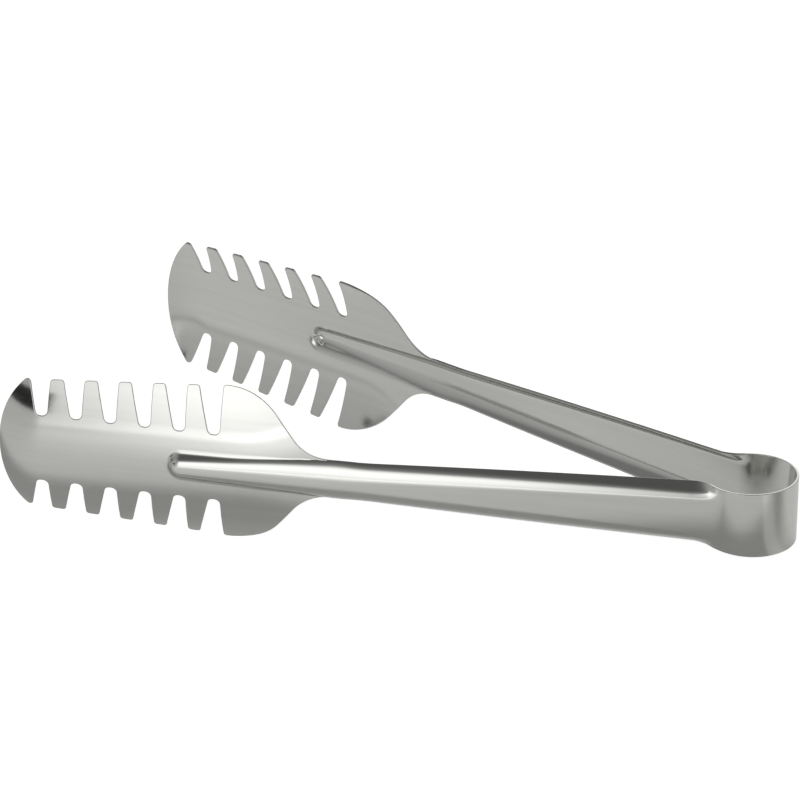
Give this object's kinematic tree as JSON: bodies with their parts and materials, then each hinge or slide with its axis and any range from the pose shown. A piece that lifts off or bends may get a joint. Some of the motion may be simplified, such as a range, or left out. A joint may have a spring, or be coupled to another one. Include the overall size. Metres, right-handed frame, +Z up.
{
  "type": "pasta tongs",
  "caption": "Spring tongs pressed from one strip of stainless steel: a round bow, two channel-shaped handles and two dished, toothed combs that close on the pasta",
  "frame": {"origin": "Centre of the bounding box's base, on the table that the tongs rest on", "axes": "+X runs from the combs to the bow, +Y from the front arm to the rear arm, +Z up from the table"},
  "size_m": [0.2752, 0.1386, 0.0605],
  "materials": {
    "steel": "satin-polished stainless sheet"
  },
  "bodies": {
    "bow": {"bow_crown": "steel"},
    "front_arm": {"front_bow_leg": "steel", "front_handle": "steel", "front_comb": "steel"},
    "rear_arm": {"rear_bow_leg": "steel", "rear_handle": "steel", "rear_comb": "steel"}
  },
  "joints": [
    {"name": "front_flex", "type": "hinge", "parent": "bow", "child": "front_arm", "pos_m": [0.12753, -0.01426, 0.01287], "axis": [-0.0904, 0, -0.9959], "range_deg": [-3, 13.9], "stiffness_Nm_per_rad": 10.8},
    {"name": "rear_flex", "type": "hinge", "parent": "bow", "child": "rear_arm", "pos_m": [0.12753, 0.01426, 0.01287], "axis": [0.0904, 0, 0.9959], "range_deg": [-3, 13.9], "stiffness_Nm_per_rad": 10.8}
  ]
}
